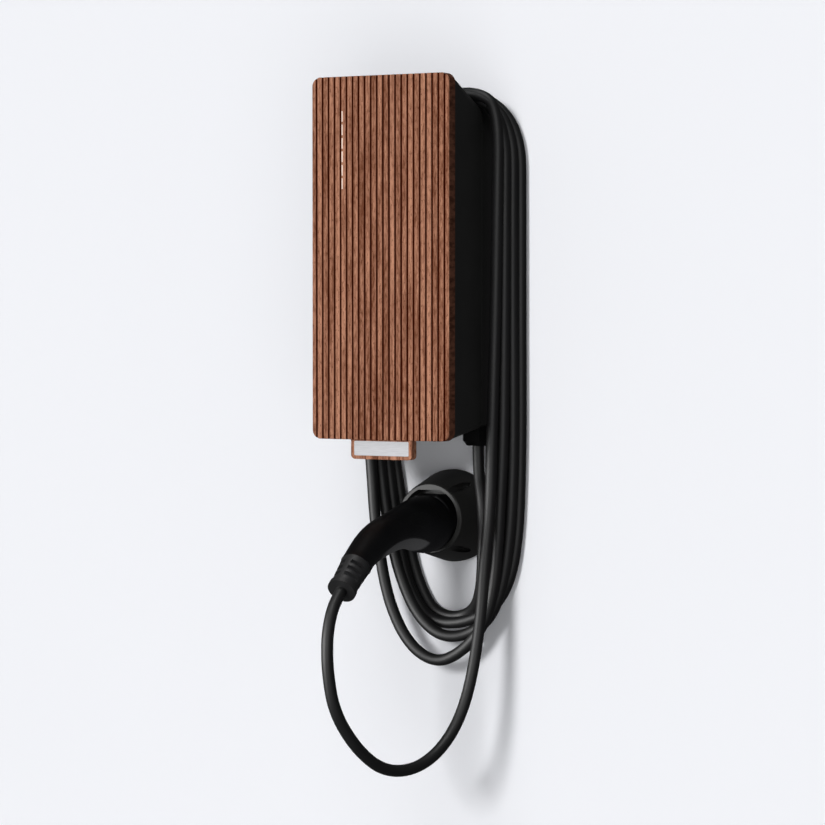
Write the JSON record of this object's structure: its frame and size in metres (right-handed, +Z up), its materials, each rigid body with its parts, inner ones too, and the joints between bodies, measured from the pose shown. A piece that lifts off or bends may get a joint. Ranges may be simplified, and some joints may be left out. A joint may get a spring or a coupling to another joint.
{
  "type": "ev wallbox",
  "caption": "Slim wall charger for electric cars with a slatted wooden front, a status light row, its cable wound behind the box and the plug parked in a round wall dock below.",
  "frame": {"origin": "on the wall plane, at the centre of the wall bracket's four screw holes", "axes": "+Y into the wall, -Y out of the front cover, +X to the right seen from the front, +Z up"},
  "size_m": [0.229, 0.3042, 0.7615],
  "materials": {
    "wood": "open-grained walnut, satin",
    "light": "clear white light guide",
    "plate": "brushed",
    "housing": "fine moulded texture",
    "bracket": "powder coated",
    "screw": "plain",
    "standoff": "turned",
    "board": "lacquered board",
    "component": "moulded",
    "terminal": "moulded",
    "gland": "moulded",
    "seal": "plain",
    "plug": "fine moulded texture",
    "relief": "moulded",
    "contact": "plated",
    "cable": "satin jacket"
  },
  "bodies": {
    "root": {"front_cover": "wood", "label_tab": "wood", "light_guide": "light", "label_plate": "plate", "front_housing": "housing", "rear_housing": "housing", "dock_body": "housing", "wall_bracket": "bracket", "housing_screws": "screw", "lock_screw": "screw", "board_screws": "screw", "dock_screws": "screw", "board_standoffs": "standoff", "main_board": "board", "led_board": "board", "radio_module": "board", "contactor": "component", "power_supply": "component", "meter_module": "component", "current_sensor": "component", "terminal_block": "terminal", "gland_locknut": "gland", "gland_body": "gland", "gland_nut": "gland", "housing_seal": "seal", "gland_seal": "seal", "inlet_grommet": "seal", "plug_seal": "seal", "plug_nose": "plug", "plug_handle": "plug", "strain_relief": "relief", "plug_contacts": "contact", "cable_coil": "cable", "cable_lead": "cable", "cable_tail": "cable"}
  },
  "joints": []
}
